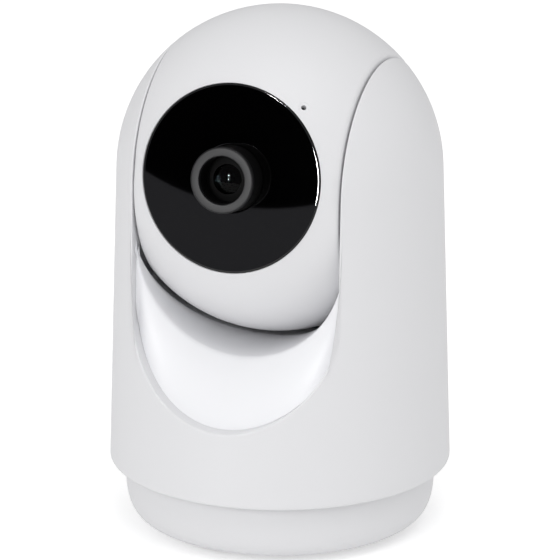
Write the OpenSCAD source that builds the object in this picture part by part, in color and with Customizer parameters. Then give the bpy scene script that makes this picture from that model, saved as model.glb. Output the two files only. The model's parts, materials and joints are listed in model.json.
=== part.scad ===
/* [Overall] */
// Height from the desk to the top of the ball
height = 119; // [117:0.5:122]
// Diameter of the housing at its lower edge
housing_d = 77; // [76:0.5:80]
// Diameter of the ball
ball_d = 73; // [72.5:0.1:73.5]
// Height of the housing's lower edge above the desk
skirt_z = 15; // [15:0.1:15.5]
// Wall of the outer shells
wall = 1.9; // [1.7:0.1:2.1]

/* [Slot and cradle] */
// Width of the slot between the two arms
slot_w = 47.9; // [47.7:0.1:48.1]
// Height of the centre of the slot's round lower end
slot_z = 56.3; // [55.5:0.1:57.5]
// Depth of the housing's lip before the cradle starts
lip_depth = 3.5; // [3:0.1:4]
// Height of the centre of the cradle's rim
rim_z = 70.2; // [69.5:0.1:71]
// Distance from the pan axis to the plane of the rim
rim_y = 25; // [24.5:0.1:25.5]
// Radius of the pocket behind the ball
pocket_r = 37.65; // [37.4:0.05:37.8]
// Height of the slot's edge at the back
back_edge_z = 70; // [69:0.5:72]

/* [Head] */
// Width of the head between its two flat sides
head_w = 47; // [46.6:0.1:47.2]
// Radius on the edges of the flat sides
head_edge = 1.2; // [0.8:0.1:1.5]
// Diameter of the flat face
face_d = 41.7; // [41:0.1:42]
// Upward tilt of the lens at rest
rest_tilt = 10.8; // [5:0.1:15]
// How far behind the tilt axis the two head shells meet
seam_y = 8; // [8:0.5:9]
// Outer diameter of the ring round the lens
ring_d = 14.6; // [14:0.1:15]
// How far the ring's face stands from the tilt axis
ring_y = 35.7; // [35:0.1:35.8]

/* [Base] */
// Diameter of the base at its top
base_d = 70; // [69:0.5:71]
// Diameter of the flat bottom of the base
base_flat_d = 47; // [46:0.5:48]
// How square the curve of the base's side is
base_curve = 3.8; // [3:0.1:5]
// Height of the rubber feet below the base
foot_h = 0.8; // [0.6:0.1:1]
// Turn of the base about the pan axis at rest
base_turn = -13; // [-30:1:30]

/* [Gears] */
// Module of both gear pairs
gear_module = 0.6; // [0.6:0.01:0.61]
// Teeth of the fixed pan gear
pan_teeth = 60; // [60:1:60]
// Teeth of the fixed tilt gear
tilt_teeth = 40; // [40:1:40]
// Teeth of each motor's pinion
pinion_teeth = 12; // [12:1:12]

/* [Hidden] */
$fn = 96;

white = [0.9, 0.9, 0.91];
panel_white = [0.95, 0.95, 0.96];
black = [0.03, 0.03, 0.035];
dark = [0.13, 0.13, 0.14];
steel = [0.62, 0.63, 0.65];
brass = [0.78, 0.62, 0.3];
board_green = [0.08, 0.33, 0.2];
acetal = [0.93, 0.92, 0.86];

big = 200;
snug = 0.05;
gap = 0.15;
hair = 0.05;

// Outer form: a dome of the ball's own radius on a slender cone that is tangent to it.
ball_r = ball_d / 2;
ball_z = height - ball_r;
skirt_r = housing_d / 2;
cone_h = ball_z - skirt_z;
taper = acos(ball_r / norm([skirt_r, cone_h])) - atan2(cone_h, skirt_r);
skirt_edge = 0.6;
slot_r = slot_w / 2;
lip_wall = 1.2;
cradle_wall = 1.8;
groove_r = pocket_r - 0.35;
groove_half = 12.3;

// Head, in its own frame: tilt axis along X through the origin, lens along -Y.
head_half = head_w / 2;
face_r = face_d / 2;
face_y = sqrt(ball_r * ball_r - face_r * face_r);
plate_t = 1.6;
face_back = face_y - plate_t;
recess_y = face_back - 2.3;
floor_t = 1.6;
shell_in = ball_r - wall;
side_in = head_half - wall;
ring_r = ring_d / 2;
lens_y = 31.2;
board_y = 15.5;
board_t = 1.2;
mic_dir = [15.2, -28.5, 17];

// Pivots and bushes of the tilt axis.
pivot_r = 6;
bush_r = 7.6;
flange_r = 10;
flange_x = slot_r + cradle_wall;
tilt_gear_x = 17.6;
gear_t = 3;

// Pan bearing, from the deck of the base up.
deck_z = skirt_z + 0.4;
deck_t = 2;
base_floor = 2;
hub_r = 8.5;
hub_bore = 5.2;
bush_wall = 1.5;
chassis_z = deck_z + 0.8;
chassis_t = 2;
chassis_r = skirt_r - wall - 0.3;
step_r = 28;
hub_z = deck_z - 7;
retainer_t = 1.5;

// Gears.
backlash = 0.14;
pressure = 25;
pan_mesh = gear_module * (pan_teeth + pinion_teeth) / 2 + 0.1;
tilt_mesh = gear_module * (tilt_teeth + pinion_teeth) / 2 + 0.1;

// Speaker at the back of the housing.
speaker_z = 34;
speaker_r = 13;
speaker_y = 32.4;
grille_r = 11.5;

// Feet and screws.
foot_r = 4;
foot_ring = 22.6;
screw_r = 0.95;
pilot_r = 1;
post_r = 2.6;

// ---- Shared forms ----

// Moves the head's own frame into its place at rest.
module in_head() {
  translate([0, 0, ball_z]) rotate([-rest_tilt, 0, 0]) children();
}

// Turns the base about the pan axis.
module in_base() {
  rotate([0, 0, base_turn]) children();
}

// A cylinder along +X, or along +Y, from a point.
module rod_x(r, length, fn = 64) {
  rotate([0, 90, 0]) cylinder(r = r, h = length, $fn = fn);
}

module rod_y(r, length, fn = 64) {
  rotate([-90, 0, 0]) cylinder(r = r, h = length, $fn = fn);
}

// Half section of the housing's outside, moved inwards by in.
module housing_section(in) {
  r = ball_r - in;
  tangent = [r * cos(taper), ball_z + r * sin(taper)];
  bottom_r = skirt_r - in / cos(taper) + skirt_edge * tan(taper);
  intersection() {
    translate([0, ball_z]) circle(r = r);
    translate([0, tangent[1]]) square([r, big]);
  }
  polygon([
    [0, skirt_z - in], [bottom_r - skirt_edge, skirt_z - in],
    for (a = [-75:15:0]) [
      bottom_r - skirt_edge * (1 - cos(a)), skirt_z - in + skirt_edge * (1 + sin(a))
    ],
    tangent, [0, tangent[1]]
  ]);
}

// Turned from the front, so the form's own seam runs down under the slot.
module housing_form(in = 0) {
  rotate([0, 0, -90]) rotate_extrude() housing_section(in);
}

// The slot's straight-sided prism: round below at the front, square with soft corners behind.
// Each round stretch is narrower by a hair than the flat it runs into, so no two faces are tangent.
module slot_front(grow) {
  w = slot_r + grow;
  translate([0, -big / 2, slot_z]) {
    rod_y(w - hair, big / 2, 96);
    translate([-w, 0, 0]) cube([2 * w, big / 2, big]);
  }
}

module slot_back(grow) {
  w = slot_r + grow;
  corner = 8;
  translate([0, -0.5, back_edge_z - grow]) {
    for (s = [-1, 1]) translate([s * (w - corner), 0, corner]) rod_y(corner - hair, big / 2);
    translate([corner - w, 0, 0]) cube([2 * (w - corner), big / 2, big]);
    translate([-w, 0, corner]) cube([2 * w, big / 2, big]);
  }
}

// The ball's pocket, between the planes of the slot.
module pocket(grow) {
  w = slot_r + grow;
  translate([0, 0, ball_z]) intersection() {
    sphere(r = pocket_r + grow);
    translate([-w, -big / 2, -big / 2]) cube([2 * w, big, big]);
  }
}

// The band that runs straight back from the rim to the pocket.
module band(grow) {
  translate([0, -rim_y - grow / 6, rim_z]) rod_y(slot_r - hair + grow, rim_y - 4 + grow / 6, 128);
}

// Clearance groove below the ball, turned about the tilt axis.
module groove(grow) {
  half = groove_half + grow;
  translate([-half, 0, ball_z]) intersection() {
    rod_x(groove_r + grow, 2 * half, 96);
    translate([-1, -big, -big]) cube([big, big + 10, big]);
  }
}

// The panel between the slot's edge and the rim. It is ruled: at each x it runs straight from
// the slot's edge, inside the housing's lip, back and up to the rim.
module panel() {
  steps = 32;
  seam_r = skirt_r - lip_depth - 1.4;
  function seam(x) = -sqrt(max(pow(rim_y + 0.1, 2), seam_r * seam_r - x * x));
  function section(a, r, drop, back) = [
    [r * sin(a), seam(r * sin(a)), slot_z - r * cos(a) - drop],
    [r * sin(a), back - rim_y, rim_z - r * cos(a) - drop]
  ];
  r_out = slot_r + 1.1;
  points = [
    for (i = [0:steps]) let (a = -90 + 180 * i / steps)
      for (p = concat(section(a, slot_r, 0, 0), section(a, r_out, 1.2, 0))) p
  ];
  quads = [
    for (i = [0:steps - 1]) let (k = 4 * i)
      for (q = [[0, 1, 5, 4], [2, 0, 4, 6], [1, 3, 7, 5], [3, 2, 6, 7]])
        for (t = [[q[0], q[1], q[2]], [q[0], q[2], q[3]]]) [for (v = t) k + v]
  ];
  last = 4 * steps;
  ends = [[0, 2, 1], [2, 3, 1], [last + 1, last + 2, last], [last + 1, last + 3, last + 2]];
  polyhedron(points, concat(quads, ends), convexity = 4);
}

// Half section of the ball between its flat sides, for turning about the tilt axis.
module head_section(in) {
  r = ball_r - in;
  half = head_half - in;
  edge = max(head_edge - in, 0.3);
  centre = [sqrt(pow(r - edge, 2) - pow(half - edge, 2)), half - edge];
  tip = centre * r / (r - edge);
  difference() {
    intersection() {
      circle(r = r, $fn = 180);
      translate([0, -half]) square([r, 2 * half]);
    }
    for (s = [-1, 1]) polygon([
      [centre[0], s * centre[1]], [centre[0], s * (half + 1)],
      [tip[0] + 1, s * (half + 1)], [tip[0] + 1, s * tip[1]], [tip[0], s * tip[1]]
    ]);
  }
  for (s = [-1, 1]) translate([centre[0], s * centre[1]]) circle(r = edge, $fn = 32);
}

module head_form(in = 0) {
  rotate([0, 90, 0]) rotate_extrude($fn = 180) head_section(in);
}

// Angle between a tooth's centre and its flank at a radius, for an involute tooth.
function inv(a) = tan(a) * 180 / PI - a;
function flank(r, rp, n) =
  let (rb = rp * cos(pressure), a = acos(min(1, rb / max(r, rb))))
  90 / n - backlash / 2 / rp * 180 / PI + inv(pressure) - inv(a);

module gear_outline(n, add, ded, first = 0) {
  rp = gear_module * n / 2;
  root = rp - ded * gear_module;
  tip = rp + add * gear_module;
  base = max(rp * cos(pressure), root + 0.02);
  radii = [root, base, (base + tip) / 2, tip];
  polygon([
    for (k = [0:n - 1]) let (c = first + 360 * k / n)
      for (i = [0:7]) let (r = radii[i < 4 ? i : 7 - i], f = flank(r, rp, n), a = c + (i < 4 ? -f : f))
        [r * cos(a), r * sin(a)]
  ]);
}

// A plain screw pointing down: head on top at the origin, shank below.
module screw(length, head_r = 1.8, head_t = 1.1) {
  translate([0, 0, -head_t]) difference() {
    cylinder(r = head_r, h = head_t, $fn = 32);
    translate([0, 0, head_t - 0.5]) {
      cube([1.7, 0.4, 1.2], center = true);
      cube([0.4, 1.7, 1.2], center = true);
    }
  }
  translate([0, 0, -length]) cylinder(r = screw_r, h = length - head_t / 2, $fn = 32);
}

// Repeats a child at equal angles on a circle.
module around(count, radius, first = 0) {
  for (i = [0:count - 1]) rotate([0, 0, first + 360 * i / count]) translate([radius, 0, 0]) children();
}

// A small geared stepper motor: can, gearbox lid with two ears, and the collar of its shaft.
// The shaft's axis is the origin, the ears' seat is z = 0, the can is above.
module motor_body(can_r, can_h, offset, ear, collar_r, collar_h, bore) {
  ear_r = 3;
  difference() {
    union() {
      translate([0, offset, 0]) {
        cylinder(r = can_r, h = can_h);
        linear_extrude(1) difference() {
          union() {
            for (s = [-1, 1]) translate([s * ear, 0]) circle(r = ear_r, $fn = 40);
            square([2 * ear, 2 * ear_r], center = true);
          }
          for (s = [-1, 1]) translate([s * ear, 0]) circle(r = 1.1, $fn = 32);
        }
        translate([-5, can_r - 1, 2]) cube([10, 3, can_h - 4]);
      }
      translate([0, 0, -collar_h]) cylinder(r = collar_r, h = collar_h + 1, $fn = 48);
    }
    translate([0, 0, -collar_h - 1]) cylinder(r = bore, h = can_h / 2 + collar_h + 1, $fn = 48);
  }
}

// ---- Base ----

function base_side(r_flat, r_top, z_flat, z_top, steps = 18) = [
  for (i = [0:steps]) let (a = 90 - 90 * i / steps) [
    r_flat + (r_top - r_flat) * pow(cos(a), 2 / base_curve),
    z_top - (z_top - z_flat) * pow(sin(a), 2 / base_curve)
  ]
];

socket_z = 8.4;

module base_bowl() color(white) in_base() {
  top_r = base_d / 2;
  flat_r = base_flat_d / 2;
  insert_r = 5.5;
  difference() {
    union() {
      rotate_extrude() difference() {
        polygon(concat(
          [[0, foot_h]], base_side(flat_r, top_r, foot_h, skirt_z),
          [[top_r, deck_z], [0, deck_z]]
        ));
        polygon(concat(
          [[0, foot_h + base_floor]],
          base_side(flat_r - wall / 2, top_r - wall, foot_h + base_floor, skirt_z),
          [[top_r - wall, deck_z + 1], [0, deck_z + 1]]
        ));
      }
      cylinder(r = insert_r, h = 6);
    }
    translate([0, 0, -1]) cylinder(r = insert_r + 2, h = 1 + foot_h);
    around(4, foot_ring) {
      cylinder(r = foot_r + snug, h = foot_h + 0.9, $fn = 64);
      cylinder(r = 1.15, h = 6, $fn = 32);
      translate([0, 0, foot_h + 0.8]) cylinder(r1 = 2.05, r2 = 1, h = 1.05, $fn = 32);
    }
    cylinder(r = 4, h = 5.8, $fn = 64);
    // window for the lead's moulded plug
    translate([0, base_d / 2 - 6, socket_z]) rotate([-90, 0, 0]) linear_extrude(10) {
      for (s = [-1, 1]) translate([2.6 * s, 0]) circle(r = 3.4, $fn = 48);
      square([5.2, 6.8], center = true);
    }
  }
}

module base_deck() color(white) in_base() {
  tube_r = hub_r + bush_wall + 2;
  stop_w = 1.1;
  post_top = deck_z - deck_t;
  difference() {
    union() {
      translate([0, 0, post_top]) cylinder(r = base_d / 2 - wall - 0.1, h = deck_t);
      translate([0, 0, hub_z + 0.2]) cylinder(r = tube_r, h = post_top - hub_z);
      around(4, foot_ring) translate([0, 0, foot_h + base_floor])
        cylinder(r = 3, h = post_top - foot_h - base_floor + 0.5, $fn = 48);
      // stop rib that the retainer's fin meets after a turn of almost 175 degrees each way
      translate([-stop_w / 2, tube_r - 1, hub_z - retainer_t]) cube([stop_w, 3.4, post_top - hub_z + retainer_t]);
    }
    translate([0, 0, -1]) cylinder(r = hub_r + bush_wall, h = big);
    translate([0, 0, hub_z - retainer_t - 1]) cylinder(r = 11.8, h = retainer_t + 1.2);
    around(4, foot_ring) cylinder(r = pilot_r, h = post_top, $fn = 32);
    around(3, 14.6, 30) translate([0, 0, post_top - 1]) cylinder(r = pilot_r, h = deck_t + 2, $fn = 32);
  }
}

module rubber_feet() color(dark) in_base() around(4, foot_ring) rotate_extrude($fn = 64) {
  polygon([[0, 0], [foot_r - 0.4, 0], [foot_r - 0.12, 0.12], [foot_r, 0.4], [foot_r, foot_h + 0.8], [0, foot_h + 0.8]]);
}

// Flat-headed screws under the feet, each into a post of the deck.
module base_screws() color(steel) in_base() around(4, foot_ring) translate([0, 0, foot_h + 0.9]) {
  cylinder(r1 = 1.9, r2 = screw_r, h = 0.95, $fn = 32);
  cylinder(r = screw_r, h = 9, $fn = 32);
}

module tripod_insert() color(brass) in_base() difference() {
  translate([0, 0, foot_h]) cylinder(r = 3.95, h = 5, $fn = 64);
  cylinder(r = 2.6, h = 10, $fn = 64);
}

module ballast_plate() color(steel) in_base() difference() {
  translate([0, 0, foot_h + base_floor + 0.1]) cylinder(r = 27, h = 2.5);
  cylinder(r = 6.2, h = 10);
  around(4, foot_ring) cylinder(r = 3.5, h = 10, $fn = 48);
}

module power_board() color(board_green) in_base() difference() {
  union() {
    translate([-11, 14.5, 5.8]) cube([22, 16, 1.2]);
    translate([-9.5, 17, 7]) cube([4, 6, 2.6]);
    translate([5.5, 18, 7]) cube([3.6, 3.6, 1.6]);
    translate([5, 25.5, 7]) cube([3, 1.6, 1]);
  }
  translate([0, foot_ring, 0]) cylinder(r = 3.4, h = 10, $fn = 48);
}

module power_socket() color(steel) in_base() translate([0, 27, socket_z]) rotate([-90, 0, 0]) difference() {
  linear_extrude(4.8)
    polygon([[-3.8, 1.4], [-3.8, -0.8], [-2.9, -1.4], [2.9, -1.4], [3.8, -0.8], [3.8, 1.4]]);
  translate([0, 0, 1]) linear_extrude(10) difference() {
    square([6.8, 1.8], center = true);
    translate([0, 0.2]) square([4.2, 0.6], center = true);
  }
}

module pan_gear() color(acetal) in_base() difference() {
  translate([0, 0, deck_z]) linear_extrude(gear_t) rotate([0, 0, -90 - base_turn])
    gear_outline(pan_teeth, 0.9, 1.15);
  cylinder(r = 12.3, h = big);
  around(3, 14.6, 30) {
    cylinder(r = 1.1, h = big, $fn = 32);
    translate([0, 0, deck_z + gear_t - 1.3]) cylinder(r = 1.9, h = 5, $fn = 32);
  }
}

module pan_gear_screws() color(steel) in_base() around(3, 14.6, 30)
  translate([0, 0, deck_z + gear_t - 0.15]) screw(4.6);

module pan_bush() color(acetal) difference() {
  union() {
    translate([0, 0, hub_z + 0.2]) cylinder(r = hub_r + bush_wall - 0.02, h = deck_z - hub_z);
    translate([0, 0, deck_z]) cylinder(r = 12, h = chassis_z - deck_z - 0.06);
  }
  cylinder(r = hub_r + 0.06, h = big);
}

// ---- Turret: everything that pans ----

cradle_posts = [[-21, -10], [21, -10], [-16, 16.5], [16, 16.5]];
housing_post_ring = skirt_r - wall - 3.3;

// The outer wall, then the wall split at the foot of the arms.
module housing_wall(depth) {
  difference() {
    housing_form();
    housing_form(depth);
    translate([0, 0, skirt_z - 5]) cylinder(r = skirt_r - wall, h = 10);
  }
}

module slotted(depth, grow) {
  arm_z = back_edge_z + 8;
  difference() {
    housing_wall(depth);
    translate([-big / 2, -big / 2, arm_z]) cube(big);
    slot_front(grow);
    slot_back(grow);
  }
  for (s = [0, 1]) mirror([s, 0, 0]) intersection() {
    housing_wall(depth);
    translate([slot_r + grow, -big / 2, arm_z]) cube(big);
  }
}

// The lip that returns into the slot all along its edge.
module housing_lip() {
  arm_z = back_edge_z + 8;
  intersection() {
    difference() {
      housing_wall(lip_depth);
      translate([-big / 2, -big / 2, arm_z]) cube(big);
      slot_front(0);
      slot_back(0);
    }
    union() {
      slot_front(lip_wall);
      slot_back(lip_wall);
    }
  }
  for (s = [0, 1]) mirror([s, 0, 0]) intersection() {
    housing_wall(lip_depth);
    translate([slot_r, -big / 2, arm_z]) cube([lip_wall, big, big]);
  }
}

module housing() color(white) difference() {
  union() {
    slotted(wall, 0);
    housing_lip();
    // screw posts on the wall
    around(4, housing_post_ring, 45) translate([0, 0, chassis_z + chassis_t])
      cylinder(r = post_r + 0.6, h = 11, $fn = 48);
  }
  pocket(0);
  around(4, housing_post_ring, 45) cylinder(r = pilot_r, h = chassis_z + 10, $fn = 32);
  translate([0, 0, speaker_z]) rod_y(grille_r, big);
}

module cradle() color(panel_white) {
  panel();
  difference() {
    union() {
      intersection() {
        union() {
          pocket(cradle_wall);
          band(cradle_wall);
        }
        housing_form(wall + gap);
      }
      for (p = cradle_posts) translate([p[0], p[1], chassis_z + 3.2 + chassis_t])
        cylinder(r = 3, h = p[1] < 0 ? 35 : 30, $fn = 48);
    }
    pocket(0);
    band(0);
    translate([-slot_r, -big, rim_z]) cube([slot_w, big - 4, big]);
    groove(0);
    // clear of the housing's lip
    intersection() {
      difference() {
        housing_form(-5);
        housing_form(lip_depth + 0.1);
      }
      union() {
        slot_front(lip_wall + 0.1);
        slot_back(lip_wall + 0.1);
      }
    }
    for (p = cradle_posts) translate([p[0], p[1], 0]) cylinder(r = pilot_r, h = 36, $fn = 32);
    translate([-big / 2, 0, ball_z]) rod_x(pivot_r + 0.1, big, 96);
    for (s = [-1, 1]) translate([s * (flange_x - 1.5), 0, ball_z]) for (a = [30, 150, 270])
      rotate([a, 0, 0]) translate([-2, 0, 8]) rod_x(pilot_r, 4, 32);
  }
}

module chassis() color(dark) {
  plate_z = chassis_z + 3.2;
  difference() {
    union() {
      translate([0, 0, chassis_z]) cylinder(r = chassis_r, h = chassis_t);
      translate([0, 0, chassis_z]) cylinder(r = step_r, h = 3.2 + chassis_t);
      // ribs that hold the speaker
      for (s = [-1, 1]) translate([s * 15 - 1, speaker_y - 5, chassis_z]) cube([2, 4.2, speaker_z - chassis_z]);
    }
    // dish that clears the fixed gear and the pinion
    translate([0, 0, chassis_z - 1]) cylinder(r = step_r - 1.5, h = 4.2);
    translate([0, -pan_mesh, 0]) cylinder(r = 4.6, h = big, $fn = 48);
    for (s = [-1, 1]) translate([s * 15.5, 6.5 - pan_mesh, 0]) cylinder(r = pilot_r, h = big, $fn = 32);
    around(4, housing_post_ring, 45) {
      cylinder(r = 1.2, h = big, $fn = 32);
      cylinder(r = 2, h = chassis_z + 1.15, $fn = 32);
    }
    for (p = cradle_posts) translate([p[0], p[1], 0]) {
      cylinder(r = 1.2, h = big, $fn = 32);
      cylinder(r = 2, h = plate_z + 1.15, $fn = 32);
    }
    cylinder(r = hub_bore, h = big);
  }
  // hub that turns in the bush
  difference() {
    union() {
      translate([0, 0, chassis_z]) cylinder(r = 11.9, h = 3.3);
      translate([0, 0, hub_z]) cylinder(r = hub_r, h = chassis_z - hub_z + 1);
    }
    cylinder(r = hub_bore, h = big);
    around(3, 6.9) cylinder(r = pilot_r, h = hub_z + 5, $fn = 32);
  }
}

module housing_screws() color(steel) around(4, housing_post_ring, 45)
  translate([0, 0, chassis_z + 0.05]) rotate([180, 0, 0]) screw(9);

module cradle_screws() color(steel) for (p = cradle_posts)
  translate([p[0], p[1], chassis_z + 3.25]) rotate([180, 0, 0]) screw(9);

module pan_motor() color(steel) translate([0, -pan_mesh, chassis_z + 3.2 + chassis_t])
  motor_body(12, 17, 6.5, 15.5, 4.4, 1.8, 1.3);

module pan_motor_screws() color(steel) for (s = [-1, 1])
  translate([s * 15.5, 6.5 - pan_mesh, chassis_z + 3.2 + chassis_t + 2.1]) screw(4.2);

module pan_pinion() color(acetal) translate([0, -pan_mesh, 0]) {
  translate([0, 0, deck_z + 0.4]) linear_extrude(gear_t + 0.2)
    gear_outline(pinion_teeth, 0.95, 1.25, 90 + 180 / pinion_teeth);
  translate([0, 0, deck_z + 0.6]) cylinder(r = 1.22, h = 12.4, $fn = 48);
}

module pan_retainer() color(dark) difference() {
  union() {
    translate([0, 0, hub_z - retainer_t]) cylinder(r = 11.4, h = retainer_t);
    // fin of the pan stop, at the front
    translate([-0.55, -13.6, hub_z - retainer_t]) cube([1.1, 4, retainer_t]);
  }
  cylinder(r = hub_bore, h = big);
  around(3, 6.9) cylinder(r = 1.1, h = big, $fn = 32);
}

module retainer_screws() color(steel) around(3, 6.9)
  translate([0, 0, hub_z - retainer_t - 0.6]) rotate([180, 0, 0]) screw(5.5, 1.6, 0.6);

module speaker() color(dark) translate([0, speaker_y, speaker_z]) rotate([90, 0, 0]) rotate_extrude() polygon([
  [0, 1.2], [3.5, 0.6], [4.5, 1.4], [10.4, 0.5], [11.2, 0], [speaker_r, 0], [speaker_r, 1.6],
  [11.6, 2], [7.6, 4.4], [7.6, 5.2], [0, 5.2]
]);

module speaker_gasket() color([0.2, 0.2, 0.22]) intersection() {
  translate([0, speaker_y + 0.02, speaker_z]) difference() {
    rod_y(speaker_r, 10);
    translate([0, -1, 0]) rod_y(grille_r, 20);
  }
  housing_form(wall + 0.02);
}

module speaker_grille() color(dark) difference() {
  intersection() {
    difference() {
      housing_form(0.1);
      housing_form(wall - 0.1);
    }
    translate([0, 10, speaker_z]) rod_y(grille_r - 0.08, 40);
  }
  // rings of round holes
  for (ring = [0:4]) for (i = [0:max(0, 6 * ring - 1)]) let (a = 360 * i / max(1, 6 * ring))
    translate([2.1 * ring * cos(a), 20, speaker_z + 2.1 * ring * sin(a)]) rod_y(0.65, 30, 16);
}

module tilt_pivot(side, bore) {
  mirror([side < 0 ? 1 : 0, 0, 0]) translate([0, 0, ball_z]) difference() {
    union() {
      translate([flange_x + 0.02, 0, 0]) rod_x(flange_r, 1.5);
      translate([tilt_gear_x + gear_t + 0.05, 0, 0]) rod_x(pivot_r, flange_x - tilt_gear_x - gear_t + 0.5, 96);
      if (bore == 0) translate([tilt_gear_x, 0, 0]) rod_x(2.9, 5);
    }
    if (bore > 0) rod_x(bore, big);
    for (a = [30, 150, 270]) rotate([a, 0, 0]) translate([flange_x - 1, 0, 8]) rod_x(1.1, 5, 32);
    if (bore == 0) for (a = [0, 180]) rotate([a - rest_tilt, 0, 0])
      translate([tilt_gear_x, 0, 4.5]) rod_x(pilot_r, 6.5, 32);
  }
}

module tilt_pivot_right() color(acetal) tilt_pivot(1, 0);

module tilt_pivot_left() color(acetal) tilt_pivot(-1, 4);

module pivot_screws() color(steel) for (s = [0, 1]) mirror([s, 0, 0]) translate([0, 0, ball_z])
  for (a = [30, 150, 270]) rotate([a, 0, 0]) translate([flange_x + 2.64, 0, 8]) rotate([0, 90, 0]) screw(4.2);

module tilt_gear() color(acetal) in_head() translate([tilt_gear_x, 0, 0]) rotate([0, 90, 0]) difference() {
  linear_extrude(gear_t) rotate([0, 0, 90]) gear_outline(tilt_teeth, 0.9, 1.15);
  translate([0, 0, -1]) cylinder(r = 3, h = 10, $fn = 48);
  for (a = [0, 180]) rotate([0, 0, a]) translate([4.5, 0, -1]) cylinder(r = 1.1, h = 10, $fn = 32);
}

module tilt_gear_screws() color(steel) in_head() for (a = [0, 180]) rotate([a, 0, 0])
  translate([tilt_gear_x - 0.65, 0, 4.5]) rotate([0, -90, 0]) screw(6.5, 1.4, 0.6);

// ---- Head: everything that tilts ----

motor_y = tilt_mesh;
motor_can_y = 17;
motor_can_z = -4.5;
motor_ear = 12.5;
motor_x = 15.3;
board_posts = [[-15, -19], [15, -19], [-15, 19], [15, 19]];
button_x = 10;
button_y = 0.6;
card_x = -2;
card_y = 1.35;

// The front of the ball, cut at the seam, with the seat for the face plate and the floor behind it.
module front_cup() difference() {
  union() {
    difference() {
      head_form();
      head_form(wall);
    }
    intersection() {
      head_form();
      translate([0, -face_y + 0.07, 0]) rod_y(21.3, face_y - recess_y + floor_t);
    }
  }
  translate([-big / 2, seam_y, -big / 2]) cube(big);
  translate([-big / 2, -big, -big / 2]) cube([big, big - face_y + 0.07, big]);
  translate([0, -big / 2, 0]) rod_y(face_r, big / 2 - face_back);
  translate([0, -big / 2, 0]) rod_y(face_r - 1.45, big / 2 - recess_y);
}

module head_front_shell() color(white) in_head() difference() {
  union() {
    front_cup();
    for (p = board_posts) intersection() {
      translate([p[0], -recess_y - 1, p[1]]) rod_y(2.3, recess_y - board_y + 0.98, 40);
      head_form(0.5);
    }
    seam_tabs(0.3, seam_y - 2);
    seam_tabs(-0.1, 14);
  }
  translate([-big / 2, 0, 0]) rod_x(bush_r, big, 96);
  translate([card_x - 6, card_y - 0.75, -big]) cube([12, 1.5, big - 20]);
  translate([button_x, button_y, -big]) cylinder(r = 1.6, h = big - 20, $fn = 48);
  translate([0, -big / 2, 0]) rod_y(ring_r + 0.4, big / 2);
  translate([9, -recess_y - 1, 9]) rod_y(2, 5);
  for (p = board_posts) translate([p[0], -board_y - 7, p[1]]) rod_y(pilot_r, 20, 32);
  for (s = [-1, 1]) for (v = [-1, 1]) translate([s * side_in - 4, 11, v * 18]) rod_x(pilot_r, 8, 32);
  // pinhole, its countersink and the pocket for the microphone
  along(mic_dir) {
    translate([0, 0, 30]) cylinder(r = 0.45, h = 10, $fn = 32);
    translate([0, 0, ball_r - 0.3]) cylinder(r1 = 0.45, r2 = 0.95, h = 0.5, $fn = 32);
    translate([0, 0, 28]) cylinder(r = 1.75, h = shell_in - 28, $fn = 32);
  }
}

// Four tabs of the front shell that the side screws hold behind the seam.
module seam_tabs(bite, reach) {
  for (s = [0, 1]) mirror([s, 0, 0]) for (v = [-1, 1])
    translate([side_in - 2, 0, v * 18 - 3]) cube([2 + bite, reach, 6]);
}

// Points +Z along a direction.
module along(d) {
  rotate([0, acos(d[2] / norm(d)), atan2(d[1], d[0])]) children();
}

module head_rear_shell() color(white) in_head() difference() {
  union() {
    difference() {
      head_form();
      head_form(wall);
      translate([0, seam_y + 0.06 - big, 0]) rod_y(big, big);
    }
    // tongue inside the seam, on the round part only
    intersection() {
      difference() {
        union() {
          head_form(wall + 0.1);
          intersection() {
            head_form(wall - 0.3);
            translate([0, seam_y + 0.1, 0]) rod_y(big, big);
          }
        }
        head_form(wall + 1.1);
        translate([-big / 2, 0, 0]) rod_x(29, big);
      }
      translate([0, seam_y - 1.6, 0]) rod_y(big, 3.2);
      translate([0.7 - side_in, 0, -big / 2]) cube([2 * side_in - 1.4, big, big]);
    }
    // posts for the tilt motor
    for (e = [-1, 1]) translate([motor_x + 1.02, motor_can_y, motor_can_z + e * motor_ear])
      rod_x(2.2, side_in - motor_x, 40);
    // bosses for the side screws
    for (s = [-1, 1]) for (v = [-1, 1]) intersection() {
      translate([s > 0 ? side_in - 0.1 : -head_half, 11, v * 18]) rod_x(3, wall + 0.1, 40);
      head_form();
    }
  }
  for (s = [0, 1]) mirror([s, 0, 0]) for (v = [-1, 1]) translate([0, 11, v * 18]) {
    translate([side_in - 0.5, 0, 0]) rod_x(1.1, 5, 32);
    translate([head_half - 1.2, 0, 0]) rod_x(2, 5, 32);
  }
  for (e = [-1, 1]) translate([motor_x, motor_can_y, motor_can_z + e * motor_ear]) rod_x(pilot_r, 5.5, 32);
}

module head_screws() color(steel) in_head() for (s = [0, 1]) mirror([s, 0, 0]) for (v = [-1, 1])
  translate([head_half - 0.05, 11, v * 18]) rotate([0, 90, 0]) screw(4);

module face_plate() color(black) in_head() rotate([90, 0, 0]) rotate_extrude() difference() {
  polygon([
    [0, face_back + 0.02], [face_r - 0.1, face_back + 0.02], [face_r - 0.1, face_y - 0.35],
    [face_r - 0.45, face_y], [0, face_y]
  ]);
  square([ring_r + 0.1, big]);
}

module lens_ring() color(dark) in_head() rotate([90, 0, 0]) rotate_extrude() polygon([
  [6.1, recess_y + 0.02], [9, recess_y + 0.02], [9, recess_y + 1], [ring_r, recess_y + 1],
  [ring_r, ring_y - 0.4], [ring_r - 0.4, ring_y], [6.1, ring_y], [5.6, ring_y - 0.3],
  [5.3, ring_y - 0.8], [5.2, ring_y - 1.5], [5.2, lens_y + 0.1], [6.1, lens_y + 0.1]
]);

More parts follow.
